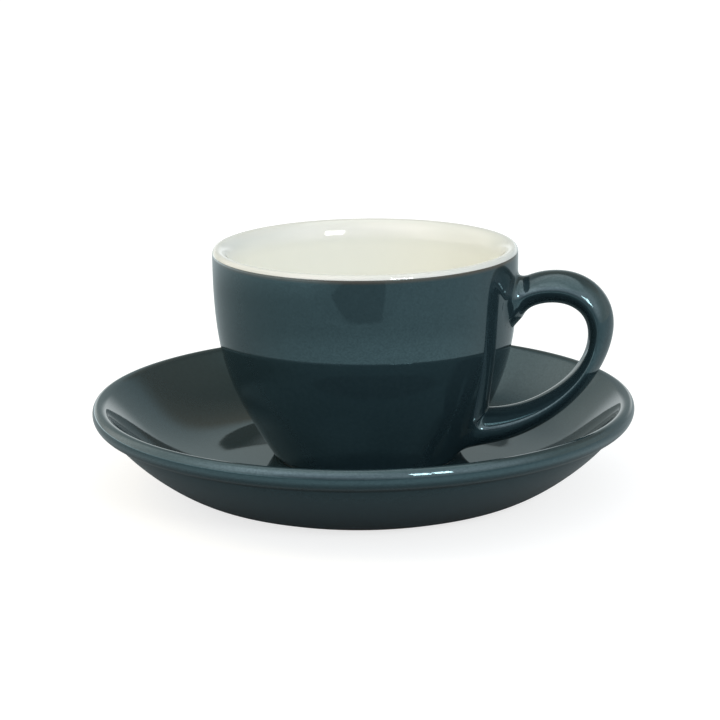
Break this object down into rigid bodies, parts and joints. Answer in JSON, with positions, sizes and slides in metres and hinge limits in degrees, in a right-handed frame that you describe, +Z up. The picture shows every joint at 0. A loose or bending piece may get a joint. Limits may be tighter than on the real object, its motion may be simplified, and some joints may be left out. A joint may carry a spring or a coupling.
{
  "type": "espresso cup with saucer",
  "caption": "Glazed stoneware espresso cup with an ear handle and a pale lining, standing on its deep round saucer; the cup lifts off.",
  "frame": {"origin": "centre of the saucer's foot ring on the plane that it stands on", "axes": "+Z up along the axis of the saucer and the cup, +X towards the cup's handle"},
  "size_m": [0.12, 0.12, 0.0538],
  "materials": {
    "bare_clay": "bare fired stoneware, matte",
    "slate_glaze": "glossy dark slate glaze",
    "cream_glaze": "glossy cream glaze"
  },
  "bodies": {
    "saucer": {"saucer_body": "bare_clay", "saucer_glaze": "slate_glaze"},
    "cup": {"cup_body": "bare_clay", "cup_lining": "cream_glaze", "cup_glaze": "slate_glaze", "handle_body": "bare_clay", "handle_glaze": "slate_glaze"}
  },
  "joints": [
    {"name": "cup_lift", "type": "slide", "parent": "saucer", "child": "cup", "axis": [0, 0, 1], "range_m": [0, 0.1]}
  ]
}
